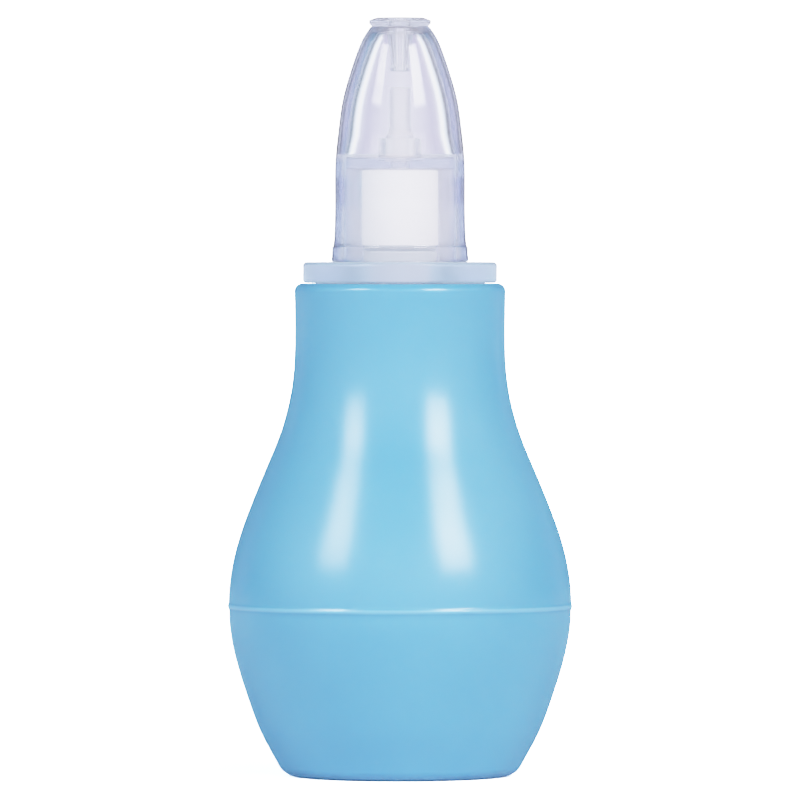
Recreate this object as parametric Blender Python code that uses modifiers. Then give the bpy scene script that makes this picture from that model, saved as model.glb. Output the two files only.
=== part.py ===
"""Squeeze-bulb nasal aspirator, as eight separate turned pieces.

Metres, +Z up. The origin is the centre of the bulb's flat base, and +Z is
the axis that every piece is turned about. The bulb's two shells meet at its
widest place. A flange plug sits in the bulb's neck and carries a clear
barrel with a filter in it. A thin tube stands in a collar on the barrel's
floor, and the nozzle slides down over the barrel. A tip insert closes the
nozzle and hangs a second thin tube above the first, so that the air crosses
the gap between them and the fluid stays in the nozzle.

Dimensions are in millimetres and head the section of their piece. Names
ending in R are radii and names ending in Z, Z0 or Z1 are heights, with Z0
the lower and Z1 the upper end of a piece or feature.
"""

import math

import bmesh
import bpy

MM = 0.001
MERGE_DISTANCE = 0.00001   # metres, joins the last step of a turn to the first
SHARP_ANGLE = math.radians(38)

# Round divisions of the turned pieces
BULB_STEPS, BODY_STEPS, THIN_STEPS = 48, 40, 24


# ---- Profile helpers: points are (radius, height) ----

def smooth_radius(stations, z):
    """Radius at height z on a smooth curve through (height, radius) stations.

    A cubic Hermite curve. The slope at an inner station is the harmonic mean
    of its neighbours', so that the curve doesn't overshoot.
    """
    zs, radii = zip(*stations)
    last = len(zs) - 1
    chords = [(radii[i + 1] - radii[i]) / (zs[i + 1] - zs[i]) for i in range(last)]
    slopes = [chords[0]]
    for below, above in zip(chords, chords[1:]):
        turns_back = below * above <= 0
        slopes.append(0.0 if turns_back else 2 * below * above / (below + above))
    slopes.append(chords[-1])

    i = 0
    while i < last - 1 and z > zs[i + 1]:
        i += 1
    span = zs[i + 1] - zs[i]
    t = min(1.0, max(0.0, (z - zs[i]) / span))
    return (
        (2 * t**3 - 3 * t**2 + 1) * radii[i]
        + (t**3 - 2 * t**2 + t) * span * slopes[i]
        + (-2 * t**3 + 3 * t**2) * radii[i + 1]
        + (t**3 - t**2) * span * slopes[i + 1]
    )


def curve_points(stations, start_z, end_z, count, inset=0.0):
    """Evenly spaced heights on the stations' curve, moved inwards by inset."""
    zs = [start_z + (end_z - start_z) * i / (count - 1) for i in range(count)]
    return [(smooth_radius(stations, z) - inset, z) for z in zs]


def round_top(radius, z, size, count=3):
    """Rounded upper outer corner, from the top face to the side."""
    angles = [math.pi / 2 * i / (count - 1) for i in range(count)]
    return [
        (radius - size + size * math.sin(a), z - size + size * math.cos(a))
        for a in angles
    ]


def round_bottom(radius, z, size):
    """Rounded lower outer corner, from the side to the bottom face."""
    return [(r, 2 * z - mirrored_z) for r, mirrored_z in reversed(round_top(radius, z, size))]


def bevel_top(radius, z, size):
    """Bevelled upper outer corner, from the top face to the side."""
    return [(radius - size, z), (radius, z - size)]


def bevel_bottom(radius, z, size):
    """Bevelled lower outer corner, from the side to the bottom face."""
    return [(radius, z + size), (radius - size, z)]


# ---- Squeeze bulb ----

BULB_WALL = 2.1            # soft vinyl, measured along the radius
BULB_MAX_R = 24.0
SEAM_Z = 23.8              # where the two shells meet
SEAM_GAP = 0.12

BASE_THICKNESS = 2.6
CUP_FLOOR_R = 13.2         # inside the cup
CUP_INNER_Z0 = 4.6         # lower end of the cup's inner wall
FOOT = (                   # radius, height: rounded foot, down to the flat base
    (16.6, 1.25),
    (15.75, 0.4),
    (14.8, 0.0),
)
CUP_STATIONS = (           # height, outer radius of the lower shell
    (3.1, 17.87), (5.2, 19.0), (8.2, 20.35), (14.9, 22.55), (19.6, 23.68),
    (SEAM_Z, BULB_MAX_R),
)

NECK_R, NECK_BORE_R = 14.72, 12.3
NECK_TOP_Z = 68.95
NECK_RIM_ROUND = 1.25
SHOULDER_INNER_Z1 = 49.0   # above this the inside narrows into the neck's bore
BORE_ENTRY = (             # radius, height: from the inner wall to the bore
    (12.7, 53.5),
    (NECK_BORE_R, 55.5),
)
SHOULDER_STATIONS = (      # height, outer radius of the upper shell
    (SEAM_Z, BULB_MAX_R),
    (28.6, 23.7), (33.9, 22.3), (39.0, 20.45), (44.0, 18.4),
    (49.0, 16.45), (54.1, 15.3), (59.1, 14.7),
)


def bulb_cup_profile():
    top = SEAM_Z - SEAM_GAP / 2
    return [
        *curve_points(CUP_STATIONS, top, CUP_STATIONS[0][0], count=9),
        *FOOT,
        (0.0, 0.0),
        (0.0, BASE_THICKNESS),
        (CUP_FLOOR_R, BASE_THICKNESS),
        *curve_points(CUP_STATIONS, CUP_INNER_Z0, top, count=6, inset=BULB_WALL),
    ]


def bulb_shoulder_profile():
    low = SEAM_Z + SEAM_GAP / 2
    neck_foot = SHOULDER_STATIONS[-1][0]
    return [
        (NECK_BORE_R, NECK_TOP_Z),
        *round_top(NECK_R, NECK_TOP_Z, NECK_RIM_ROUND, count=4),
        *curve_points(SHOULDER_STATIONS, neck_foot, low, count=13),
        *curve_points(SHOULDER_STATIONS, low, SHOULDER_INNER_Z1, count=8, inset=BULB_WALL),
        *BORE_ENTRY,
    ]


# ---- Flange plug ----

FLANGE_R = 13.6
FLANGE_Z0 = NECK_TOP_Z + 0.1   # just clear of the neck's rim
FLANGE_Z1 = 71.95
FLANGE_ROUND = 0.3
AIR_BORE_R = 2.8           # bore through the flange, narrower than the filter
REGISTER_R = 5.1           # low boss that centres the barrel
REGISTER_Z1 = 73.35
REGISTER_BEVEL = 0.2

PLUG_R = 11.75             # hollow plug in the neck
PLUG_BORE_R = PLUG_R - 1.7
PLUG_Z0 = 57.6
PLUG_END_BEVEL, PLUG_END_BEVEL_HEIGHT = 0.5, 0.6
PLUG_ROOF_BEVEL = 0.5      # inner corner under the flange
RIB_HEIGHT = 0.33          # two low gripping ribs, steeper above than below
RIB_ZS = (66.0, 61.5)


def flange_plug_profile():
    ribs = []
    for z in RIB_ZS:
        ribs += [
            (PLUG_R, z + RIB_HEIGHT),
            (PLUG_R + RIB_HEIGHT, z),
            (PLUG_R, z - 3 * RIB_HEIGHT),
        ]
    return [
        *bevel_top(REGISTER_R, REGISTER_Z1, REGISTER_BEVEL),
        (REGISTER_R, FLANGE_Z1),
        *round_top(FLANGE_R, FLANGE_Z1, FLANGE_ROUND),
        *round_bottom(FLANGE_R, FLANGE_Z0, FLANGE_ROUND),
        (PLUG_R, FLANGE_Z0),
        *ribs,
        (PLUG_R, PLUG_Z0 + PLUG_END_BEVEL_HEIGHT),
        (PLUG_R - PLUG_END_BEVEL, PLUG_Z0),
        (PLUG_BORE_R, PLUG_Z0),
        (PLUG_BORE_R, FLANGE_Z0 - PLUG_ROOF_BEVEL),
        (PLUG_BORE_R - PLUG_ROOF_BEVEL, FLANGE_Z0),
        (AIR_BORE_R, FLANGE_Z0),
        (AIR_BORE_R, REGISTER_Z1),
    ]


# ---- Filter barrel ----

BARREL_R, BARREL_BORE_R = 7.6, 5.5
BARREL_Z0 = FLANGE_Z1 + 0.13   # just clear of the flange
BARREL_BEVEL = 0.3
BORE_BEVEL = 0.35          # at the bore's lower end
FLOOR_Z0, FLOOR_Z1 = 85.0, 86.5   # the floor closes the barrel's top
FLOOR_HOLE_R = 0.95
COLLAR_R, COLLAR_BORE_R = 2.95, 2.2
COLLAR_Z1 = 89.4
COLLAR_SEAT_Z = 85.9       # bottom of the collar's bore, sunk into the floor
COLLAR_BEVEL = 0.25
COLLAR_FOOT = 0.35         # sloped corner between collar and floor


def filter_barrel_profile():
    return [
        (COLLAR_BORE_R, COLLAR_Z1),
        *bevel_top(COLLAR_R, COLLAR_Z1, COLLAR_BEVEL),
        (COLLAR_R, FLOOR_Z1 + COLLAR_FOOT),
        (COLLAR_R + COLLAR_FOOT, FLOOR_Z1),
        *bevel_top(BARREL_R, FLOOR_Z1, BARREL_BEVEL),
        (BARREL_R, BARREL_Z0),
        (BARREL_BORE_R + BORE_BEVEL, BARREL_Z0),
        (BARREL_BORE_R, BARREL_Z0 + BORE_BEVEL),
        (BARREL_BORE_R, FLOOR_Z0),
        (FLOOR_HOLE_R, FLOOR_Z0),
        (FLOOR_HOLE_R, COLLAR_SEAT_Z),
        (COLLAR_BORE_R, COLLAR_SEAT_Z),
    ]


# ---- Filter: a plain disc-ended cylinder between register and floor ----

FILTER_R = BARREL_BORE_R - 0.18
FILTER_Z0 = REGISTER_Z1 + 0.3
FILTER_Z1 = FLOOR_Z0 - 0.25
FILTER_BEVEL = 0.25


def filter_plug_profile():
    return [
        (0.0, FILTER_Z1),
        *bevel_top(FILTER_R, FILTER_Z1, FILTER_BEVEL),
        *bevel_bottom(FILTER_R, FILTER_Z0, FILTER_BEVEL),
        (0.0, FILTER_Z0),
    ]


# ---- Chimney tube ----

CHIMNEY_R, CHIMNEY_BORE_R = 1.5, 0.9
CHIMNEY_Z0 = COLLAR_SEAT_Z + 0.25
CHIMNEY_Z1 = 96.3
CHIMNEY_BEVEL = 0.2
CHIMNEY_FOOT_R = 1.98      # thicker foot in the collar
FOOT_TAPER_Z0, FOOT_TAPER_Z1 = 89.8, 90.3


def chimney_profile():
    return [
        (CHIMNEY_BORE_R, CHIMNEY_Z1),
        *bevel_top(CHIMNEY_R, CHIMNEY_Z1, CHIMNEY_BEVEL),
        (CHIMNEY_R, FOOT_TAPER_Z1),
        (CHIMNEY_FOOT_R, FOOT_TAPER_Z0),
        (CHIMNEY_FOOT_R, CHIMNEY_Z0),
        (CHIMNEY_BORE_R, CHIMNEY_Z0),
    ]


# ---- Nozzle ----

NOZZLE_Z0 = BARREL_Z0      # both end just above the flange
NOZZLE_TOP_Z, NOZZLE_TOP_R = 104.85, 4.1
NOZZLE_MOUTH_R = 2.3
SKIRT_R, SKIRT_BORE_R = 9.12, 7.9
SKIRT_TOP_Z = 86.0
SKIRT_BORE_Z1 = FLOOR_Z1 + 0.4
BEAD_R, BEAD_Z1 = 9.55, 75.4   # the skirt flares to this at its lower edge
BEAD_BEVEL = 0.3
BEAD_STATIONS = (          # share of the flare, depth below the bead's top
    (0.1, 0.0),
    (0.4, 1.0),
    (0.9, 2.1),
)
DOME_WALL = 1.3            # square to the surface
DOME_INNER_Z0, DOME_INNER_Z1 = 88.3, 102.7
SLOPE_REACH = 0.2          # the dome's slope is taken this far above and below
ROOF_Z = 104.3             # underside of the nozzle's closed top
ROOF_STEP_IN = 0.6         # how far the wall leans in to meet the roof
DOME_STATIONS = (          # height, outer radius of the nozzle above its skirt
    (SKIRT_TOP_Z, SKIRT_R),
    (90.0, 8.72), (93.5, 8.3), (96.6, 7.6), (99.5, 6.68), (102.2, 5.68), (103.8, 4.85),
    (NOZZLE_TOP_Z, NOZZLE_TOP_R),
)


def dome_inner_points():
    """The dome's inner wall, upwards, set in by the wall square to the slope."""
    points = []
    for radius, z in curve_points(DOME_STATIONS, DOME_INNER_Z0, DOME_INNER_Z1, count=8):
        above = smooth_radius(DOME_STATIONS, z + SLOPE_REACH)
        below = smooth_radius(DOME_STATIONS, z - SLOPE_REACH)
        slope = (above - below) / (2 * SLOPE_REACH)
        points.append((radius - DOME_WALL * math.hypot(1.0, slope), z))
    return points


def nozzle_profile():
    flare = BEAD_R - SKIRT_R
    inner = dome_inner_points()
    return [
        *curve_points(DOME_STATIONS, NOZZLE_TOP_Z, SKIRT_TOP_Z, count=12),
        *[(SKIRT_R + share * flare, BEAD_Z1 - depth) for share, depth in BEAD_STATIONS],
        *bevel_bottom(BEAD_R, NOZZLE_Z0, BEAD_BEVEL),
        (SKIRT_BORE_R, NOZZLE_Z0),
        (SKIRT_BORE_R, SKIRT_BORE_Z1),
        *inner,
        (inner[-1][0] - ROOF_STEP_IN, ROOF_Z),
        (NOZZLE_MOUTH_R, ROOF_Z),
        (NOZZLE_MOUTH_R, NOZZLE_TOP_Z),
    ]


# ---- Tip insert ----

LIP_R = 4.3
LIP_Z0 = NOZZLE_TOP_Z + 0.08   # just clear of the nozzle's top
LIP_Z1 = 106.2
LIP_ROUND, LIP_BEVEL = 0.42, 0.2
TIP_ROOT_R, TIP_TUBE_R = 2.0, 1.26  # the hanging tube tapers downwards
TIP_ROOT_BORE_R, TIP_BORE_R = 0.82, 0.6
TIP_TUBE_Z0 = 98.5
TIP_RING_R = 1.42          # thicker ring at the hanging tube's lower end
RING_TOP, RING_SIDE_TOP, RING_SIDE_FOOT = 0.8, 0.55, 0.15  # above the tube's end
FUNNEL_R, FUNNEL_DEPTH = 1.5, 1.3   # the bore opens out in the lip


def tip_profile():
    return [
        (FUNNEL_R, LIP_Z1),
        *round_top(LIP_R, LIP_Z1, LIP_ROUND, count=4),
        *bevel_bottom(LIP_R, LIP_Z0, LIP_BEVEL),
        (TIP_ROOT_R, LIP_Z0),
        (TIP_TUBE_R, TIP_TUBE_Z0 + RING_TOP),
        (TIP_RING_R, TIP_TUBE_Z0 + RING_SIDE_TOP),
        (TIP_RING_R, TIP_TUBE_Z0 + RING_SIDE_FOOT),
        (TIP_TUBE_R, TIP_TUBE_Z0),
        (TIP_BORE_R, TIP_TUBE_Z0),
        (TIP_ROOT_BORE_R, LIP_Z1 - FUNNEL_DEPTH),
    ]


# ---- Materials ----

def plastic(name, colour, roughness, alpha=1.0, transmission=0.0, ior=1.5):
    material = bpy.data.materials.new(name)
    material.use_nodes = True
    inputs = material.node_tree.nodes["Principled BSDF"].inputs
    inputs["Base Color"].default_value = (*colour, 1.0)
    inputs["Roughness"].default_value = roughness
    inputs["Metallic"].default_value = 0.0
    inputs["Transmission Weight"].default_value = transmission
    inputs["Alpha"].default_value = alpha
    inputs["IOR"].default_value = ior
    material.diffuse_color = (*colour, alpha)
    return material


def vinyl_material():
    return plastic("sky_blue_vinyl", colour=(0.22, 0.58, 0.80), roughness=0.34)


def clear_material():
    return plastic("clear_plastic", colour=(0.86, 0.88, 0.96), roughness=0.08,
                   alpha=0.45, transmission=0.85, ior=1.49)


def porous_material():
    return plastic("white_porous", colour=(0.93, 0.92, 0.92), roughness=0.85)


# ---- Assembly ----

# Empties on the turning axis, one for each group that slides off the next:
# name, parent, height, members. A parent comes before its children.
GROUPS = (
    ("neck_group", None, SEAM_Z, ("bulb_shoulder",)),
    ("plug_group", "neck_group", FLANGE_Z0, ("flange_plug",)),
    ("barrel_group", "plug_group", BARREL_Z0, ("filter_barrel", "chimney_tube")),
    ("filter_group", "plug_group", FILTER_Z0, ("filter_plug",)),
    ("nozzle_group", "barrel_group", NOZZLE_Z0, ("nozzle_dome", "tip_tube")),
)


def clear_scene():
    for ob in list(bpy.data.objects):
        bpy.data.objects.remove(ob)


def profile_mesh(name, profile):
    """Edges along the profile, closed into a loop unless it starts on the axis."""
    mesh = bpy.data.meshes.new(name)
    bm = bmesh.new()
    verts = [bm.verts.new((radius * MM, 0.0, z * MM)) for radius, z in profile]
    for start, end in zip(verts, verts[1:]):
        bm.edges.new((start, end))
    if profile[0][0] > 0:
        bm.edges.new((verts[-1], verts[0]))
    bm.to_mesh(mesh)
    bm.free()
    return mesh


def turned(name, profile, steps, material, parts):
    """A solid of revolution about Z, with the screw modifier applied."""
    outline = profile_mesh(name, profile)
    ob = bpy.data.objects.new(name, outline)
    parts.objects.link(ob)
    screw = ob.modifiers.new("turn", "SCREW")
    screw.axis = "Z"
    screw.angle = 2 * math.pi
    screw.steps = steps
    screw.render_steps = steps
    screw.use_merge_vertices = True
    screw.merge_threshold = MERGE_DISTANCE
    screw.use_smooth_shade = True
    bpy.context.view_layer.update()
    evaluated = ob.evaluated_get(bpy.context.evaluated_depsgraph_get())
    solid = bpy.data.meshes.new_from_object(evaluated)
    ob.modifiers.clear()
    ob.data = solid
    bpy.data.meshes.remove(outline)
    solid.name = name
    solid.shade_smooth()
    solid.set_sharp_from_angle(angle=SHARP_ANGLE)
    solid.materials.clear()
    solid.materials.append(material)
    return ob


def group_pieces(pieces, parts):
    """Parent the pieces to their empties, with each origin at its empty."""
    empties = {}
    empty_zs = {None: 0.0}
    for name, parent, z, members in GROUPS:
        empty = bpy.data.objects.new(name, None)
        empty.empty_display_size = 0.01
        parts.objects.link(empty)
        empty.parent = empties.get(parent)
        empty.location = (0.0, 0.0, (z - empty_zs[parent]) * MM)
        empties[name] = empty
        empty_zs[name] = z
        for member in members:
            piece = pieces[member]
            for vertex in piece.data.vertices:
                vertex.co.z -= z * MM
            piece.parent = empty


def build():
    clear_scene()
    parts = bpy.data.collections.new("nasal_aspirator")
    bpy.context.scene.collection.children.link(parts)

    vinyl = vinyl_material()
    clear = clear_material()
    porous = porous_material()
    specs = {
        "bulb_cup": (bulb_cup_profile(), BULB_STEPS, vinyl),
        "bulb_shoulder": (bulb_shoulder_profile(), BULB_STEPS, vinyl),
        "flange_plug": (flange_plug_profile(), BODY_STEPS, clear),
        "filter_barrel": (filter_barrel_profile(), BODY_STEPS, clear),
        "filter_plug": (filter_plug_profile(), BODY_STEPS, porous),
        "chimney_tube": (chimney_profile(), THIN_STEPS, clear),
        "nozzle_dome": (nozzle_profile(), BODY_STEPS, clear),
        "tip_tube": (tip_profile(), THIN_STEPS, clear),
    }
    pieces = {name: turned(name, *spec, parts) for name, spec in specs.items()}
    group_pieces(pieces, parts)
    bpy.context.view_layer.update()


build()
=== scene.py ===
"""Looks for a squeeze-bulb nasal aspirator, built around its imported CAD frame.

It stands on its bulb at the origin with its axis on +Z and its tip up, and the
camera looks from -Y. Every piece is a turned form with small rounded edges.
Lengths are in millimetres until a mesh, light or material takes them, and the
end heights and outer radii come from the CAD boxes.
"""

import math

import bmesh
import bpy
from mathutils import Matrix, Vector, noise


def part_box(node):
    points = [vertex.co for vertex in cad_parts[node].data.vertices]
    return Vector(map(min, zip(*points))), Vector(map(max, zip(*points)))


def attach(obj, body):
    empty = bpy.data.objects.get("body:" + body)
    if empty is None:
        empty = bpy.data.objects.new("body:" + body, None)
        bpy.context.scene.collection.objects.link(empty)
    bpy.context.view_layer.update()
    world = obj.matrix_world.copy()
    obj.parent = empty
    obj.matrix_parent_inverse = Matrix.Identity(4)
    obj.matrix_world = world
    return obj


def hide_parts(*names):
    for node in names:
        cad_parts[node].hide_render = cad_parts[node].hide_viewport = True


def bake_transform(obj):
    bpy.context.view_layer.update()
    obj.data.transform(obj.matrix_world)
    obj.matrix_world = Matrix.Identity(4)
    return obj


MM = 0.001

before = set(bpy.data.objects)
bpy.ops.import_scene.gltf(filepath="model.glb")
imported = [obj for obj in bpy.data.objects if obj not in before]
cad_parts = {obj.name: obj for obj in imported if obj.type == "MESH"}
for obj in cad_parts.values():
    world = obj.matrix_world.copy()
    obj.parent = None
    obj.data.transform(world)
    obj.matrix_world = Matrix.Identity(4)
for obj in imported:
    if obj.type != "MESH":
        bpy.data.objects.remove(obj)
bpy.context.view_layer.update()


def bottom(node):
    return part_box(node)[0].z / MM


def top(node):
    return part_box(node)[1].z / MM


def radius(node):
    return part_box(node)[1].x / MM


# ---------------------------------------------------------------- profiles


class Curve:
    """Radius against height: a natural cubic spline through (height, radius) stations."""

    def __init__(self, stations):
        self.heights = [height for height, _ in stations]
        self.radii = [r for _, r in stations]
        heights, radii = self.heights, self.radii
        count = len(heights)
        gaps = [heights[i + 1] - heights[i] for i in range(count - 1)]
        slopes = [(radii[i + 1] - radii[i]) / gaps[i] for i in range(count - 1)]
        right, upper = [0.0] * count, [0.0] * count
        for i in range(1, count - 1):
            diagonal = 2 * (gaps[i - 1] + gaps[i]) - gaps[i - 1] * upper[i - 1]
            upper[i] = gaps[i] / diagonal
            bend = slopes[i] - slopes[i - 1]
            right[i] = (6 * bend - gaps[i - 1] * right[i - 1]) / diagonal
        # The second derivative at each station, nil at both ends.
        self.bends = [0.0] * count
        for i in range(count - 2, 0, -1):
            self.bends[i] = right[i] - upper[i] * self.bends[i + 1]

    def __call__(self, z):
        i = 0
        while i < len(self.heights) - 2 and z > self.heights[i + 1]:
            i += 1
        gap = self.heights[i + 1] - self.heights[i]
        a, b = (self.heights[i + 1] - z) / gap, (z - self.heights[i]) / gap
        curved = (a**3 - a) * self.bends[i] + (b**3 - b) * self.bends[i + 1]
        return a * self.radii[i] + b * self.radii[i + 1] + curved * gap * gap / 6

    def slope(self, z, step=0.02):
        return (self(z + step) - self(z - step)) / (2 * step)

    def inset(self, z, wall):
        """The point (radius, height) square to the surface at height z, wall inside it."""
        slope = self.slope(z)
        inward = wall / math.hypot(1.0, slope)
        return self(z) - inward, z + inward * slope

    def points(self, start, end, step):
        return [(self(z), z) for z in along(start, end, step)]


def along(start, end, step):
    """Even heights from start to end, no more than step apart."""
    count = max(1, math.ceil(abs(end - start) / step))
    return [start + (end - start) * i / count for i in range(count + 1)]


def rounded(corners, closed=False, step=11.0):
    """An outline from corners (radius, height, rounding), in arcs of step degrees."""
    outline = []
    for i, (r, z, rounding) in enumerate(corners):
        corner = Vector((r, z))
        if rounding <= 0 or (not closed and i in (0, len(corners) - 1)):
            outline.append((r, z))
            continue
        back = Vector(corners[i - 1][:2]) - corner
        ahead = Vector(corners[(i + 1) % len(corners)][:2]) - corner
        back_length, ahead_length = back.length, ahead.length
        back.normalize()
        ahead.normalize()
        angle = back.angle(ahead)
        if angle > math.radians(179):
            outline.append((r, z))
            continue
        cut = min(rounding / math.tan(angle / 2), 0.49 * back_length, 0.49 * ahead_length)
        rounding = cut * math.tan(angle / 2)
        centre = corner + (back + ahead).normalized() * (rounding / math.sin(angle / 2))
        start, end = corner + back * cut - centre, corner + ahead * cut - centre
        sweep = math.pi - angle
        count = max(2, math.ceil(math.degrees(sweep) / step))
        sign = 1.0 if start.x * end.y - start.y * end.x > 0 else -1.0
        # An extra point just off each end of the arc keeps the shading of the flats even.
        edge = min(0.1, 0.25 * rounding)
        if back_length - cut > 3 * edge:
            outline.append(tuple(corner + back * (cut + edge)))
        for j in range(count + 1):
            turn = sign * sweep * j / count
            cos, sin = math.cos(turn), math.sin(turn)
            outline.append(
                (
                    centre.x + start.x * cos - start.y * sin,
                    centre.y + start.x * sin + start.y * cos,
                )
            )
        if ahead_length - cut > 3 * edge:
            outline.append(tuple(corner + ahead * (cut + edge)))
    return outline


def refined(points, longest, closed=False):
    """The same outline with its long segments divided."""
    outline = []
    for i in range(len(points) if closed else len(points) - 1):
        (r0, z0), (r1, z1) = points[i], points[(i + 1) % len(points)]
        count = max(1, math.ceil(math.hypot(r1 - r0, z1 - z0) / longest))
        for j in range(count):
            outline.append((r0 + (r1 - r0) * j / count, z0 + (z1 - z0) * j / count))
    if not closed:
        outline.append(points[-1])
    return outline


def loop(corners, longest):
    """A closed outline from corners (radius, height, rounding)."""
    return refined(rounded(corners, closed=True), longest, closed=True)


def turned(name, points, segments, closed=True, shape=None):
    """A surface of revolution; shape(radius, height, angle) may move each point.

    The angle starts at -Y and goes towards +X.
    """
    verts, rings, faces = [], [], []
    for r, z in points:
        if r < 1e-6:
            rings.append([len(verts)])
            verts.append((0.0, 0.0, z * MM))
            continue
        ring = []
        for i in range(segments):
            angle = 2 * math.pi * i / segments
            new_r, new_z = shape(r, z, angle) if shape else (r, z)
            ring.append(len(verts))
            verts.append((new_r * math.sin(angle) * MM, -new_r * math.cos(angle) * MM, new_z * MM))
        rings.append(ring)
    pairs = list(zip(rings, rings[1:])) + ([(rings[-1], rings[0])] if closed else [])
    for a, b in pairs:
        if len(a) == 1 and len(b) == 1:
            continue
        for i in range(segments):
            j = (i + 1) % segments
            if len(a) == 1:
                faces.append((a[0], b[j], b[i]))
            elif len(b) == 1:
                faces.append((a[i], a[j], b[0]))
            else:
                faces.append((a[i], a[j], b[j], b[i]))
    mesh = bpy.data.meshes.new(name)
    mesh.from_pydata(verts, [], faces)
    bm = bmesh.new()
    bm.from_mesh(mesh)
    bmesh.ops.recalc_face_normals(bm, faces=bm.faces)
    bm.to_mesh(mesh)
    bm.free()
    mesh.shade_smooth()
    return add_object(name, mesh)


def add_object(name, data):
    ob = bpy.data.objects.new(name, data)
    bpy.context.scene.collection.objects.link(ob)
    return ob


def ripple(r, z, angle, size, seed):
    """Smooth noise in -1..1 over a piece's surface, size in millimetres."""
    place = Vector((r * math.sin(angle), r * math.cos(angle), z)) / size
    return noise.noise(place + Vector((seed, 2.3 * seed, -seed)))


# ---------------------------------------------------------------- bulb

SEAM = (top("bulb_cup") + bottom("bulb_shoulder")) / 2
NECK_TOP = top("bulb_shoulder")
BULB_WALL, BULB_FLOOR = 2.1, 2.6
BASE_Z = 3.0  # the side curve starts here, above the rounded foot
SIDE_TOP = NECK_TOP - 1.0
FLAT_R = 11.0  # flat middle of the base, inside and out
NECK_BORE = 12.3

# (height, radius)
BULB = Curve(
    [
        (BASE_Z, 17.82), (6.1, 19.46), (9.45, 20.79), (14.5, 22.45), (19.5, 23.63),
        (SEAM, radius("bulb_shoulder")),
        (27.9, 23.73), (33.0, 22.6), (38.0, 20.81), (43.05, 18.75), (48.1, 16.7),
        (51.5, 15.72), (54.8, 15.08), (58.2, 14.77), (62.0, 14.69), (65.6, 14.72),
        (SIDE_TOP, 14.77),
    ]
)


def bulb_points():
    coarse, fine = 0.62, 0.07  # steps down the side, and across the seam
    foot = BULB(BASE_Z) - BULB.slope(BASE_Z) * BASE_Z
    outer = BULB.points(NECK_TOP - 1.6, SEAM + 1.2, coarse)
    outer += BULB.points(SEAM + 1.05, SEAM - 1.05, fine)
    outer += BULB.points(SEAM - 1.2, BASE_Z, coarse)
    base = rounded([(BULB(BASE_Z), BASE_Z, 0), (foot, 0.0, 2.8), (FLAT_R, 0.0, 0)], step=6)[1:]
    base = refined(base, 1.0) + [(r, 0.0) for r in (9.0, 6.0, 3.0, 0.0)]
    inner = [(r, BULB_FLOOR) for r in (0.0, 4.0, 8.0, FLAT_R)]
    inner += rounded(
        [
            (FLAT_R, BULB_FLOOR, 0),
            (foot - 1.9, BULB_FLOOR, 2.2),
            (*BULB.inset(7.0, BULB_WALL), 0),
        ],
        step=12,
    )[1:]
    inner += [BULB.inset(z, BULB_WALL) for z in along(8.0, 52.0, 1.1)]
    neck = rounded(
        [
            (*BULB.inset(53.0, BULB_WALL), 0),
            (NECK_BORE, 56.0, 3.0),
            (NECK_BORE, NECK_TOP, 0.35),
            (14.77, NECK_TOP, 1.25),
            (BULB(NECK_TOP - 2.2), NECK_TOP - 2.2, 0),
        ],
        step=9,
    )
    # The neck's last two points go, so the loop closes on the first outer point.
    return outer + base + inner + refined(neck, 1.0)[:-2]


def bulb_shape(r, z, angle):
    """Gives the outer skin a slight wave and a raised parting line."""
    if not BASE_Z < z < SIDE_TOP or r <= BULB(z) - 0.9:
        return r, z
    wave = 0.035 * ripple(r, z, angle, size=13.0, seed=1.7)
    wave += 0.012 * ripple(r, z, angle, size=4.5, seed=5.1)
    # The line wanders a little in height, varies in depth and has one lump, front right.
    off_line = (z - SEAM - 0.03 * math.sin(3 * angle + 0.6)) / 0.34
    off_lump = ((angle - 0.39 + math.pi) % (2 * math.pi) - math.pi) / 0.035
    ridge = 0.15 * (1 + 0.22 * ripple(r, 0.0, angle, size=5.0, seed=9.0))
    ridge += 0.10 * math.exp(-(off_lump**2))
    r += wave
    r += ridge * math.exp(-(off_line**2))
    # A shallow groove runs under the line.
    r -= 0.05 * math.exp(-(((z - SEAM + 1.0) / 0.7) ** 2))
    return r, z


def make_bulb():
    ob = turned("bulb_soft", bulb_points(), 192, shape=bulb_shape)
    # The height at rest goes with the skin, so the painted highlight on the parting line
    # stays on it when the bulb is squeezed.
    rest_height = ob.data.attributes.new("rest_height", "FLOAT", "POINT")
    rest_height.data.foreach_set("value", [v.co.z for v in ob.data.vertices])
    return ob


# ---------------------------------------------------------------- connector and filter

JOINT_GAP = 0.03

FLANGE_R = radius("flange_plug")
PLUG_Z0, REGISTER_Z1 = bottom("flange_plug"), top("flange_plug")
FLANGE_Z0, FLANGE_Z1 = REGISTER_Z1 - 4.3, REGISTER_Z1 - 1.4
REGISTER_R, AIR_R = 5.1, 2.8
PLUG_R, PLUG_BORE = 11.75, 10.05
RIB_R, RIB_HEIGHTS = 12.08, (66.0, 61.5)


def flange_points():
    """A disc with a raised register on top and a ribbed hollow plug below."""
    corners = [
        (AIR_R, REGISTER_Z1, 0.12),
        (REGISTER_R, REGISTER_Z1, 0.25),
        (REGISTER_R, FLANGE_Z1, 0.2),
        (FLANGE_R, FLANGE_Z1, 0.5),
        (FLANGE_R - 0.03, FLANGE_Z0, 0.4),
        (PLUG_R, FLANGE_Z0, 0.2),
    ]
    for z in RIB_HEIGHTS:
        corners += [(PLUG_R, z + 0.35, 0.2), (RIB_R, z, 0.15), (PLUG_R, z - 1.0, 0.3)]
    corners += [
        (PLUG_R, PLUG_Z0, 0.4),
        (PLUG_BORE, PLUG_Z0, 0.3),
        (PLUG_BORE, FLANGE_Z0, 0.6),
        (AIR_R, FLANGE_Z0, 0.15),
    ]
    return loop(corners, 0.9)


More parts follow.
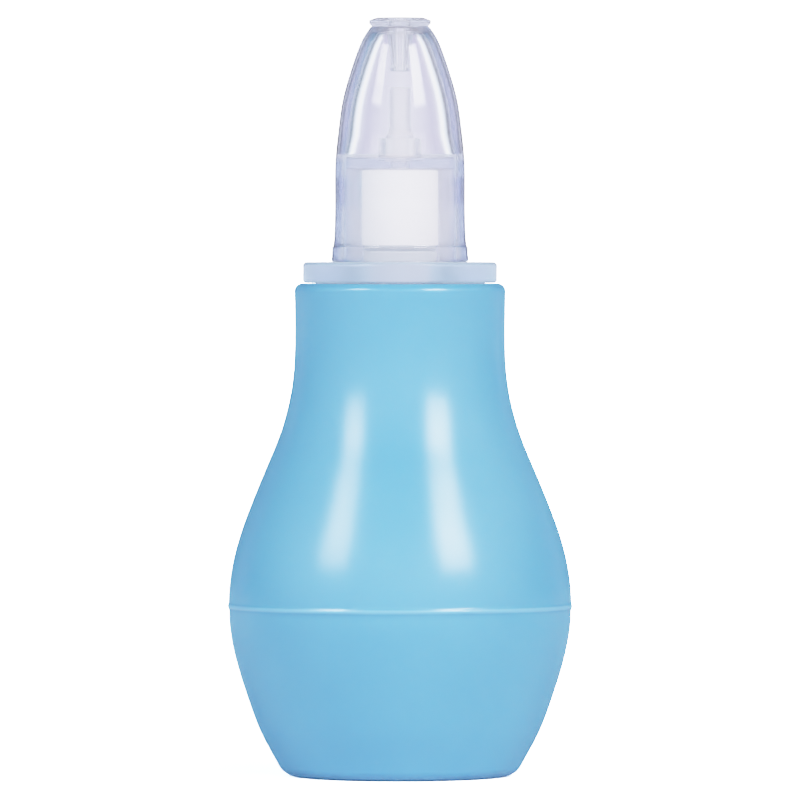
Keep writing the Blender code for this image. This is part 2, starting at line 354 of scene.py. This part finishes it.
BARREL_R = radius("filter_barrel")
BARREL_Z0, COLLAR_TOP = FLANGE_Z1 + JOINT_GAP, top("filter_barrel")
FLOOR_Z0, FLOOR_Z1 = COLLAR_TOP - 4.4, COLLAR_TOP - 2.9
COLLAR_BORE, FLOOR_HOLE_R = 2.2, 0.95
SEAT_Z = FLOOR_Z0 + 0.9


def barrel_points():
    """A sleeve open below, with a holed floor across its top and a collar above it."""
    corners = [
        (COLLAR_BORE, COLLAR_TOP, 0.12),
        (2.95, COLLAR_TOP, 0.22),
        (2.97, FLOOR_Z1, 0.4),
        (BARREL_R, FLOOR_Z1, 0.3),
        (BARREL_R, BARREL_Z0, 0.2),
        (5.55, BARREL_Z0, 0.3),
        (5.5, FLOOR_Z0, 0.3),
        (FLOOR_HOLE_R, FLOOR_Z0, 0.12),
        (FLOOR_HOLE_R, SEAT_Z, 0.1),
        (COLLAR_BORE, SEAT_Z, 0.1),
    ]
    return loop(corners, 0.7)


CHIMNEY_Z0, CHIMNEY_Z1 = bottom("chimney_tube"), top("chimney_tube")


def chimney_points():
    """A narrow tube, thicker at its foot."""
    corners = [
        (0.85, CHIMNEY_Z1, 0.1),
        (1.42, CHIMNEY_Z1, 0.22),
        (1.5, CHIMNEY_Z0 + 4.15, 0.5),
        (1.96, CHIMNEY_Z0 + 3.65, 0.2),
        (1.98, CHIMNEY_Z0, 0.2),
        (0.9, CHIMNEY_Z0, 0.12),
    ]
    return loop(corners, 0.5)


FILTER_R = radius("filter_plug")
FILTER_Z0, FILTER_Z1 = bottom("filter_plug"), top("filter_plug")
FILTER_SPLIT_Z = 80  # grain on an end face above this goes up, below it down


def filter_points():
    corners = [
        (0.0, FILTER_Z1, 0),
        (FILTER_R, FILTER_Z1, 0.3),
        (FILTER_R, FILTER_Z0, 0.45),
        (0.0, FILTER_Z0, 0),
    ]
    return refined(rounded(corners), 0.16)


def filter_shape(r, z, angle):
    """Grain, pushed outwards on the side and along the axis on the ends."""
    coarse = ripple(r, z, angle, size=0.42, seed=3.3)
    grain = 0.02 * (coarse + 0.6 * ripple(r, z, angle, size=0.2, seed=7.7))
    if r > FILTER_R - 0.35:
        return r + grain, z
    return r, z + grain * (1 if z > FILTER_SPLIT_Z else -1)


# ---------------------------------------------------------------- nozzle and tip

NOZZLE_Z0, NOZZLE_Z1 = FLANGE_Z1 + JOINT_GAP, top("nozzle_dome")
NOZZLE_R = radius("nozzle_dome")
SIDE_Z = NOZZLE_Z0 + 4.5  # the side curve starts here, above the bead
DOME_WALL, SKIRT_BORE, MOUTH_R = 1.3, 7.9, 2.2
DOME_INNER_Z = 90.0  # the inside follows the outer curve from here up
FIRST_DROP = 0.15  # from the top edge to the first point of the side
ROOF_Z = NOZZLE_Z1 - 0.5

# (height, radius)
NOZZLE = Curve(
    [
        (SIDE_Z, 9.15), (NOZZLE_Z0 + 6.9, 9.1), (NOZZLE_Z0 + 10.4, 9.1),
        (NOZZLE_Z1 - 18.35, 9.02), (NOZZLE_Z1 - 14.35, 8.61), (NOZZLE_Z1 - 10.35, 8.04),
        (NOZZLE_Z1 - 6.35, 6.95), (NOZZLE_Z1 - 2.85, 5.74), (NOZZLE_Z1 - 1.2, 4.95),
        (NOZZLE_Z1, 4.12),
    ]
)


def nozzle_points():
    """A hollow dome with a straight-bored skirt, a bead at its foot and a hole on top."""
    outer = NOZZLE.points(NOZZLE_Z1 - FIRST_DROP, NOZZLE_Z0 + 4.6, 0.45)
    bead = rounded(
        [
            (NOZZLE(SIDE_Z), SIDE_Z, 0),
            (9.2, NOZZLE_Z0 + 3.3, 2.0),
            (9.32, NOZZLE_Z0 + 2.25, 0.3),
            (9.46, NOZZLE_Z0 + 2.1, 0.3),
            (NOZZLE_R + 0.06, NOZZLE_Z0, 0.3),
            (SKIRT_BORE, NOZZLE_Z0, 0.3),
            (SKIRT_BORE, FLOOR_Z1 - 2.0, 0),
        ]
    )[:-1]
    inner = [(SKIRT_BORE, z) for z in along(FLOOR_Z1 - 2.0, FLOOR_Z1 - 0.2, 0.6)]
    inner += rounded(
        [
            (SKIRT_BORE, FLOOR_Z1 - 0.1, 0),
            (SKIRT_BORE, FLOOR_Z1 + 0.5, 1.5),
            (*NOZZLE.inset(DOME_INNER_Z, DOME_WALL), 0),
        ],
        step=2,
    )[:-1]
    inner += [NOZZLE.inset(z, DOME_WALL) for z in along(DOME_INNER_Z, NOZZLE_Z1 - 0.7, 0.4)]
    mouth = rounded(
        [
            (*NOZZLE.inset(ROOF_Z, DOME_WALL), 0),
            (MOUTH_R + 0.4, ROOF_Z - 0.05, 0.3),
            (MOUTH_R, ROOF_Z, 0.1),
            (MOUTH_R, NOZZLE_Z1, 0.1),
            (NOZZLE(NOZZLE_Z1), NOZZLE_Z1, 0.12),
            (NOZZLE(NOZZLE_Z1 - FIRST_DROP), NOZZLE_Z1 - FIRST_DROP, 0),
        ]
    )[:-1]
    return refined(outer + bead + inner + mouth, 0.8, closed=True)


def nozzle_shape(r, z, angle):
    return r + 0.012 * ripple(r, z, angle, size=7.0, seed=2.2), z


TUBE_Z0, LIP_Z1 = bottom("tip_tube"), top("tip_tube")
LIP_Z0 = NOZZLE_Z1 + JOINT_GAP
LIP_R = radius("tip_tube")
LIP_SIDE_R = LIP_R + 0.03


def tip_points():
    """A wide lip over the nozzle and a thin tube hanging from it inside."""
    corners = [
        (1.5, LIP_Z1, 0.2),
        (LIP_R - 1.0, LIP_Z1 - 0.05, 1.2),
        (LIP_SIDE_R, LIP_Z1 - 0.42, 0.45),
        (LIP_SIDE_R, LIP_Z0 + 0.5, 0.3),
        (LIP_R - 0.22, LIP_Z0 + 0.15, 0.2),
        (LIP_R - 0.35, LIP_Z0, 0.12),
        (2.0, LIP_Z0, 0.15),
        (1.26, TUBE_Z0 + 0.9, 0.3),
        (1.42, TUBE_Z0 + 0.6, 0.2),
        (1.42, TUBE_Z0 + 0.1, 0.15),
        (1.25, TUBE_Z0, 0.1),
        (0.6, TUBE_Z0, 0.1),
        (0.82, LIP_Z1 - 1.3, 0.5),
    ]
    return loop(corners, 0.5)


bulb = make_bulb()
flange = turned("flange_clear", flange_points(), 160)
barrel = turned("barrel_clear", barrel_points(), 144)
chimney = turned("chimney_clear", chimney_points(), 96)
plug = turned("filter_porous", filter_points(), 200, closed=False, shape=filter_shape)
nozzle = turned("nozzle_clear", nozzle_points(), 160, shape=nozzle_shape)
tip = turned("tip_clear", tip_points(), 112)


# ---------------------------------------------------------------- shader nodes


def put(tree, kind, inputs=None, **props):
    """A new node; an input may be a value or a socket to link from."""
    node = tree.nodes.new(kind)
    for key, value in props.items():
        setattr(node, key, value)
    for key, value in (inputs or {}).items():
        if isinstance(value, bpy.types.NodeSocket):
            tree.links.new(value, node.inputs[key])
        else:
            node.inputs[key].default_value = value
    return node


def calc(tree, op, a, b=0.0, c=0.0):
    return put(tree, "ShaderNodeMath", {0: a, 1: b, 2: c}, operation=op).outputs[0]


def vector_calc(tree, op, a, b):
    return put(tree, "ShaderNodeVectorMath", {0: a, 1: b}, operation=op).outputs[0]


def band(tree, value, span, to=(0.0, 1.0), curve="SMOOTHSTEP"):
    """Goes from to[0] to to[1] as value goes from span[0] to span[1]."""
    limits = {"From Min": span[0], "From Max": span[1], "To Min": to[0], "To Max": to[1]}
    inputs = {"Value": value, **limits}
    return put(tree, "ShaderNodeMapRange", inputs, interpolation_type=curve).outputs[0]


def mix_colour(tree, factor, a, b):
    a, b = ((*value, 1.0) if isinstance(value, tuple) else value for value in (a, b))
    return put(tree, "ShaderNodeMix", {0: factor, 6: a, 7: b}, data_type="RGBA").outputs[2]


def mix_shader(tree, factor, a, b):
    return put(tree, "ShaderNodeMixShader", {0: factor, 1: a, 2: b}).outputs[0]


def new_material(name):
    mat = bpy.data.materials.new(name)
    mat.use_nodes = True
    mat.node_tree.nodes.clear()
    return mat, mat.node_tree


def object_place(tree):
    return put(tree, "ShaderNodeTexCoord").outputs["Object"]


def object_xyz(tree):
    return put(tree, "ShaderNodeSeparateXYZ", {0: object_place(tree)}).outputs


def speckle(tree, scale, detail, roughness=0.5):
    inputs = {"Scale": scale, "Detail": detail, "Roughness": roughness}
    inputs["Vector"] = object_place(tree)
    return put(tree, "ShaderNodeTexNoise", inputs).outputs["Fac"]


def bump(tree, height, strength, distance):
    inputs = {"Strength": strength, "Distance": distance, "Height": height}
    return put(tree, "ShaderNodeBump", inputs).outputs[0]


def facing(tree):
    """0 where a surface faces the viewer, 1 where it is seen edge-on."""
    return put(tree, "ShaderNodeLayerWeight", {"Blend": 0.5}).outputs["Facing"]


# ---------------------------------------------------------------- materials


def vinyl_material():
    """Soft blue vinyl, with a painted highlight along the parting line."""
    mat, tree = new_material("bulb_vinyl_soft")
    broad = speckle(tree, scale=55.0, detail=2.0)
    fine = speckle(tree, scale=900.0, detail=4.0, roughness=0.6)
    broad_span = (0.3, 0.7)
    blues = (0.128, 0.338, 0.515), (0.138, 0.352, 0.527)
    colour = mix_colour(tree, band(tree, broad, broad_span), *blues)
    height = put(tree, "ShaderNodeAttribute", attribute_name="rest_height").outputs["Fac"]
    off_seam = calc(tree, "ABSOLUTE", calc(tree, "SUBTRACT", height, SEAM * MM))
    # Painted highlight: a paler line along the parting line stands in for the light its raised ridge
    # would catch from above.
    seam_painted_highlight = band(tree, off_seam, span=(0.00012, 0.0004), to=(0.32, 0.0))
    colour = mix_colour(tree, seam_painted_highlight, colour, (0.36, 0.62, 0.80))
    bsdf = put(
        tree,
        "ShaderNodeBsdfPrincipled",
        {
            "Base Color": colour,
            "Roughness": band(tree, broad, broad_span, to=(0.225, 0.24)),
            "IOR": 1.5,
            # The shine fades towards the outline.
            "Specular IOR Level": band(tree, facing(tree), span=(0.55, 0.80), to=(0.5, 0.03)),
            "Subsurface Weight": 0.35,
            "Subsurface Radius": (0.25, 0.6, 0.9),
            "Subsurface Scale": 0.0012,
            "Normal": bump(tree, fine, strength=0.006, distance=0.00003),
        },
    )
    put(tree, "ShaderNodeOutputMaterial", {"Surface": bsdf.outputs[0]})
    mat.diffuse_color = (0.2, 0.57, 0.8, 1.0)
    return mat


def matt_parts(tree, matt, haze, cloud):
    """Haze and cloud colour raised inside a radius and above a height, both in mm."""
    matt_r, matt_z = matt
    place = object_xyz(tree)
    squares = [calc(tree, "POWER", place[axis], 2.0) for axis in (0, 1)]
    across = calc(tree, "SQRT", calc(tree, "ADD", *squares))
    inside = band(tree, across, span=(matt_r * MM, (matt_r + 0.15) * MM), to=(1.0, 0.0))
    above = band(tree, place[2], span=((matt_z - 0.05) * MM, (matt_z + 0.05) * MM))
    pale = calc(tree, "MAXIMUM", inside, above)
    cloud = mix_colour(tree, inside, cloud, (1.0, 0.91, 0.96))
    cloud = mix_colour(tree, above, cloud, (1.0, 1.0, 1.0))
    return band(tree, pale, span=(0.0, 1.0), to=(haze, 0.94)), cloud


def skirt_painted_shade(tree, skirt_z, colour):
    """White, but with a painted shade, a darker blue, where the surface is below skirt_z mm and seen
    edge-on.
    """
    span = ((skirt_z - 0.8) * MM, (skirt_z + 0.4) * MM)
    below = band(tree, object_xyz(tree)[2], span, to=(1.0, 0.0))
    edge_on = band(tree, facing(tree), span=(0.46, 0.62))
    return mix_colour(tree, calc(tree, "MULTIPLY", below, edge_on), (1.0, 1.0, 1.0), colour)


CLEAR_TINT = (0.26, 0.36, 0.80)
CLEAR_DENSITY = 20.0


def clear_material(
    name, roughness, haze, ior=1.49, thickness=1.0, cloud=(0.95, 0.915, 0.935), matt=None, skirt=None
):
    """Clear plastic with a little haze.

    thickness scales how much colour the plastic soaks up.
    matt is (radius, height): inside that radius or above that height the surface is
    matt and pale, as an unpolished seat or bore is.
    skirt is (height, colour): below that height the outline takes that colour as painted
    shade, for the darkening of a wall seen edge-on with a second wall close behind it.
    """
    mat, tree = new_material(name)
    if matt:
        haze, cloud = matt_parts(tree, matt, haze, cloud)
    else:
        cloud = (*cloud, 1.0)
    wave = speckle(tree, scale=260.0, detail=2.0)
    fine = speckle(tree, scale=2200.0, detail=3.0)
    plastic = put(
        tree,
        "ShaderNodeBsdfPrincipled",
        {
            "Base Color": skirt_painted_shade(tree, *skirt) if skirt else (1.0, 1.0, 1.0, 1.0),
            "Roughness": band(tree, fine, span=(0.35, 0.75), to=(roughness, roughness * 1.8)),
            "IOR": ior,
            "Transmission Weight": 1.0,
            "Specular Tint": (0.8, 0.8, 0.8, 1.0),
            "Normal": bump(tree, wave, strength=0.12, distance=0.00004),
        },
    ).outputs[0]
    milk = put(tree, "ShaderNodeBsdfDiffuse", {"Color": cloud, "Roughness": 0.6}).outputs[0]
    glow = put(tree, "ShaderNodeBsdfTranslucent", {"Color": cloud}).outputs[0]
    body = mix_shader(tree, haze, plastic, mix_shader(tree, 0.5, milk, glow))
    # Shadow and diffuse rays go straight through, so light reaches what is inside.
    ray = put(tree, "ShaderNodeLightPath").outputs
    through = calc(tree, "MAXIMUM", ray["Is Shadow Ray"], ray["Is Diffuse Ray"])
    passing = put(tree, "ShaderNodeBsdfTransparent", {"Color": (0.995, 0.985, 0.97, 1.0)})
    soak = put(
        tree,
        "ShaderNodeVolumeAbsorption",
        {"Color": (*CLEAR_TINT, 1.0), "Density": thickness * CLEAR_DENSITY},
    )
    surface = mix_shader(tree, through, body, passing.outputs[0])
    put(tree, "ShaderNodeOutputMaterial", {"Surface": surface, "Volume": soak.outputs[0]})
    mat.diffuse_color = (0.86, 0.88, 0.95, 0.5)
    return mat


def filter_material():
    """White porous plastic with fine pits, with painted shade, a little darker and warmer, in their
    middles.
    """
    mat, tree = new_material("filter_white_porous")
    grain = speckle(tree, scale=3200.0, detail=4.0, roughness=0.65)
    cells = {"Vector": object_place(tree), "Scale": 2600.0}
    holes = put(tree, "ShaderNodeTexVoronoi", cells, feature="F1").outputs["Distance"]
    pits = band(tree, holes, span=(0.05, 0.35))
    height = calc(tree, "ADD", pits, grain)
    bsdf = put(
        tree,
        "ShaderNodeBsdfPrincipled",
        {
            # Painted shade: the colour turns a little darker and warmer in the middle of each pit.
            "Base Color": mix_colour(tree, pits, (0.98, 0.925, 0.895), (1.0, 0.955, 0.93)),
            "Roughness": 0.92,
            "Normal": bump(tree, height, strength=0.22, distance=0.00008),
            "Specular IOR Level": 0.2,
        },
    )
    put(tree, "ShaderNodeOutputMaterial", {"Surface": bsdf.outputs[0]})
    mat.diffuse_color = (0.94, 0.93, 0.93, 1.0)
    return mat


vinyl = vinyl_material()
flange_clear = clear_material(
    "flange_clear_plastic",
    roughness=0.08,
    haze=0.44,
    thickness=0.6,
    cloud=(0.79, 0.90, 1.0),
    matt=(3.0, FLANGE_Z1),
)
barrel_clear = clear_material(
    "barrel_clear_plastic", roughness=0.05, haze=0.16, ior=1.42, thickness=1.8
)
tube_clear = clear_material(
    "tube_clear_plastic", roughness=0.12, haze=0.28, ior=1.22, cloud=(0.98, 0.92, 0.96)
)
# The nozzle's skirt gets painted shade at its outline: a darker blue below the barrel's floor.
nozzle_clear = clear_material(
    "nozzle_clear_plastic", roughness=0.04, haze=0.08, skirt=(FLOOR_Z1, (0.52, 0.64, 0.93))
)
tip_clear = clear_material("tip_clear_plastic", roughness=0.06, haze=0.22, ior=1.30)
porous = filter_material()

# Object, material, slot, the CAD pieces it replaces, the body it rides (None: none, and its
# transform goes into its mesh).
for ob, mat, slot, nodes, body in (
    (bulb, vinyl, "bulb_vinyl", ("bulb_cup", "bulb_shoulder"), None),
    (flange, flange_clear, "clear_connector", ("flange_plug",), "plug"),
    (barrel, barrel_clear, "clear_connector", ("filter_barrel",), "barrel"),
    (chimney, tube_clear, "clear_tube", ("chimney_tube",), "barrel"),
    (plug, porous, "white_filter", ("filter_plug",), "filter"),
    (nozzle, nozzle_clear, "clear_nozzle", ("nozzle_dome",), "nozzle"),
    (tip, tip_clear, "clear_tip", ("tip_tube",), "nozzle"),
):
    ob.data.materials.append(mat)
    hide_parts(*nodes)
    if body:
        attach(ob, body)
    else:
        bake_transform(ob)


# ---------------------------------------------------------------- floor


def make_floor(half=30.0, drop=0.00002):
    """A paper floor, in metres, white to the camera and greyer to other rays."""
    mesh = bpy.data.meshes.new("stage_floor")
    corners = [(-half, -half, 0), (half, -half, 0), (half, half, 0), (-half, half, 0)]
    mesh.from_pydata(corners, [], [(0, 1, 2, 3)])
    floor = add_object("stage_floor", mesh)
    floor.location.z = -drop
    mat, tree = new_material("stage_paper")
    seen = put(tree, "ShaderNodeLightPath").outputs["Is Camera Ray"]
    colour = mix_colour(tree, seen, (0.72, 0.74, 0.83), (8.0, 8.0, 8.0))
    paper = put(tree, "ShaderNodeBsdfDiffuse", {"Color": colour})
    put(tree, "ShaderNodeOutputMaterial", {"Surface": paper.outputs[0]})
    mesh.materials.append(mat)


make_floor()

# ---------------------------------------------------------------- studio

# Soft panels round the object: how bright each is at a height in degrees, then at
# an azimuth from the camera (0) to the backdrop (180), positive to the right.
# Panels given from SAME_BOTH_SIDES on stand on both sides alike.
SAME_BOTH_SIDES = 130
PANELS = {
    10: (
        (-118, (0.18, 0.42, 0.62)), (-100, (0.48, 0.78, 0.98)), (-75, (1.18, 1.50, 1.74)),
        (-40, (1.55, 1.85, 2.15)), (0, (1.75, 2.00, 2.35)), (40, (1.70, 1.85, 2.15)),
        (75, (1.35, 1.42, 1.56)), (100, (0.36, 0.44, 0.57)), (118, (0.10, 0.15, 0.28)),
        (132, (0.37, 0.41, 0.74)), (142, (0.50, 0.54, 0.92)), (150, (0.46, 0.49, 0.78)),
        (157, (0.17, 0.18, 0.27)), (162, (0.00, 0.00, 0.00)), (166, (1.51, 1.69, 2.04)),
        (169.5, (2.60, 2.69, 2.95)), (171.2, (0.95, 0.95, 1.25)), (174, (0.59, 0.55, 0.91)),
        (180, (1.12, 1.11, 1.40)),
    ),
    27: (
        (-110, (0.40, 0.66, 0.84)), (-75, (1.13, 1.29, 1.47)), (-40, (1.34, 1.52, 1.79)),
        (0, (1.58, 1.68, 1.92)), (40, (1.74, 1.79, 1.99)), (75, (1.58, 1.56, 1.65)),
        (110, (0.80, 0.82, 0.90)), (145, (0.01, 0.16, 0.37)), (180, (0.00, 0.00, 0.05)),
    ),
    45: (
        (-120, (0.00, 0.00, 0.06)), (-60, (0.00, 0.02, 0.23)), (0, (0.00, 0.04, 0.28)),
        (60, (0.00, 0.00, 0.15)), (120, (0.00, 0.00, 0.00)), (180, (0.00, 0.00, 0.00)),
    ),
}
OVERHEAD_LEVEL, OVERHEAD = 65, (0.00, 0.00, 0.05)
LEVELS = [*PANELS, OVERHEAD_LEVEL]

# Two tall lamps, left and right of the camera: the azimuths of their sides, how far
# each side fades, and the colours of their lower and upper parts.
LAMPS = (
    ((-56, -40), (8, 2), ((10.8, 11.0, 11.3), (14.9, 15.1, 15.4))),
    ((30, 50), (2, 8), ((15.0, 15.2, 15.5), (18.3, 18.5, 18.8))),
)
LAMP_PARTS = ((21, 27), (32, 40))  # elevations of the lower and upper parts

FULL = 20.0  # the brightness that a ramp colour of 1 stands for
BLACK, WHITE = (0.0,) * 3, (FULL,) * 3


def window(tree, angle, span, fades):
    """1 within the span, fading to 0 beyond each side."""
    start, end = span
    rise = band(tree, angle, span=(start - fades[0], start))
    fall = band(tree, angle, span=(end, end + fades[1]), to=(1.0, 0.0))
    return calc(tree, "MULTIPLY", rise, fall)


def by_angle(tree, angle, limit, stops):
    """A colour that goes evenly from stop to stop as the angle goes from -limit to limit."""
    share = band(tree, angle, span=(-limit, limit), curve="LINEAR")
    node = put(tree, "ShaderNodeValToRGB", {0: share})
    ramp = node.color_ramp
    ramp.interpolation = "LINEAR"
    ramp.elements.remove(ramp.elements[0])
    for i, (at, colour) in enumerate(stops):
        place = (at + limit) / (2 * limit)
        if i == 0:
            element = ramp.elements[0]
            element.position = place
        else:
            element = ramp.elements.new(place)
        element.color = (*(c / FULL for c in colour), 1.0)
    return node.outputs[0]


def at_level(tree, elevation, level, colour):
    stops = [(other, colour if other == level else BLACK) for other in LEVELS]
    return by_angle(tree, elevation, 90.0, stops)


def room_light(tree, azimuth, elevation):
    """The panels, the ceiling and the lamps added up."""
    parts = []
    for level, panels in PANELS.items():
        shared = [(-at, colour) for at, colour in reversed(panels) if at >= SAME_BOTH_SIDES]
        height = at_level(tree, elevation, level, WHITE)
        ring = by_angle(tree, azimuth, 180.0, shared + list(panels))
        parts.append(vector_calc(tree, "MULTIPLY", ring, height))
    parts.append(at_level(tree, elevation, OVERHEAD_LEVEL, OVERHEAD))
    for sides, fades, colours in LAMPS:
        for colour, heights in zip(colours, LAMP_PARTS):
            across = window(tree, azimuth, sides, fades)
            shape = calc(tree, "MULTIPLY", across, window(tree, elevation, heights, (5, 5)))
            parts.append(vector_calc(tree, "MULTIPLY", shape, tuple(c / FULL for c in colour)))
    room = parts[0]
    for part in parts[1:]:
        room = vector_calc(tree, "ADD", room, part)
    return room


def black_flags(tree, azimuth):
    """Dims reflections and rays within a clear wall, away from the backdrop's middle.

    Without it a clear wall seen edge-on shows the backdrop as a hard white line.
    """
    off_camera = calc(tree, "ABSOLUTE", azimuth)
    flags = band(tree, off_camera, span=(150.0, 166.0), to=(1.0, 0.3))
    ray = put(tree, "ShaderNodeLightPath").outputs
    glossy, clear = ray["Is Glossy Ray"], ray["Is Transmission Ray"]
    mirrored = calc(tree, "MULTIPLY", glossy, calc(tree, "SUBTRACT", 1.0, clear))
    shallow = calc(tree, "LESS_THAN", ray["Transmission Depth"], 3.0)
    mirrored = calc(tree, "MAXIMUM", mirrored, calc(tree, "MULTIPLY", clear, shallow))
    flagged = calc(tree, "MULTIPLY", flags, mirrored)
    return calc(tree, "ADD", flagged, calc(tree, "SUBTRACT", 1.0, mirrored))


def make_world():
    """Soft light arranged round the camera, so each view is lit alike."""
    world = bpy.data.worlds.new("studio")
    bpy.context.scene.world = world
    world.use_nodes = True
    tree = world.node_tree
    tree.nodes.clear()
    ray = put(tree, "ShaderNodeTexCoord").outputs["Camera"]
    ray = put(tree, "ShaderNodeVectorMath", {0: ray}, operation="NORMALIZE").outputs[0]
    x, y, z = put(tree, "ShaderNodeSeparateXYZ", {0: ray}).outputs
    degrees = 180.0 / math.pi
    turn = calc(tree, "ARCTAN2", x, calc(tree, "MULTIPLY", z, -1.0))
    azimuth = calc(tree, "MULTIPLY", turn, degrees)
    elevation = calc(tree, "MULTIPLY", calc(tree, "ARCSINE", y), degrees)
    room = room_light(tree, azimuth, elevation)
    light = vector_calc(tree, "MULTIPLY", room, black_flags(tree, azimuth))
    studio = put(tree, "ShaderNodeBackground", {"Color": light, "Strength": FULL})
    white = {"Color": (1.0, 1.0, 1.0, 1.0), "Strength": 6.0}
    paper = put(tree, "ShaderNodeBackground", white)
    seen = put(tree, "ShaderNodeLightPath").outputs["Is Camera Ray"]
    surface = mix_shader(tree, seen, studio.outputs[0], paper.outputs[0])
    put(tree, "ShaderNodeOutputWorld", {"Surface": surface})


make_world()

# ---------------------------------------------------------------- camera and render


def make_camera(tilt=math.radians(1.0), aim_z=0.05264, away=1.4):
    """A long lens in front, tilted slightly down at a point on the axis (metres)."""
    data = bpy.data.cameras.new("camera")
    data.sensor_width = 36.0
    data.lens = 450.0
    data.clip_start, data.clip_end = 0.05, 100.0
    camera = add_object("camera", data)
    camera.location = (0.0, -away * math.cos(tilt), aim_z + away * math.sin(tilt))
    camera.rotation_euler = (math.pi / 2 - tilt, 0.0, 0.0)
    bpy.context.scene.camera = camera


# A camera's soft shoulder: straight to TOE, then easing towards CEILING, up to REACH.
TOE, CEILING, REACH = 0.4, 0.95, 4.0
TONE_LEVELS = (0.2, 0.4, 0.5, 0.6, 0.7, 0.8, 0.9, 1.0, 1.15, 1.3, 1.5, 1.75, 2.0, 2.4, 3.0)


def set_tone(tone):
    tone.view_transform = "Standard"
    tone.look = "None"
    tone.use_curve_mapping = True
    curves = tone.curve_mapping
    curves.white_level = (REACH, REACH, REACH)
    span = CEILING - TOE
    for level in TONE_LEVELS:
        shown = level if level <= TOE else TOE + span * (1 - math.exp((TOE - level) / span))
        curves.curves[3].points.new(level / REACH, shown)
    curves.update()


make_camera()
scene = bpy.context.scene
set_tone(scene.view_settings)
scene.cycles.max_bounces = 24
scene.cycles.transmission_bounces = 24
scene.cycles.glossy_bounces = 8
scene.cycles.transparent_max_bounces = 32
scene.cycles.sample_clamp_indirect = 4.0
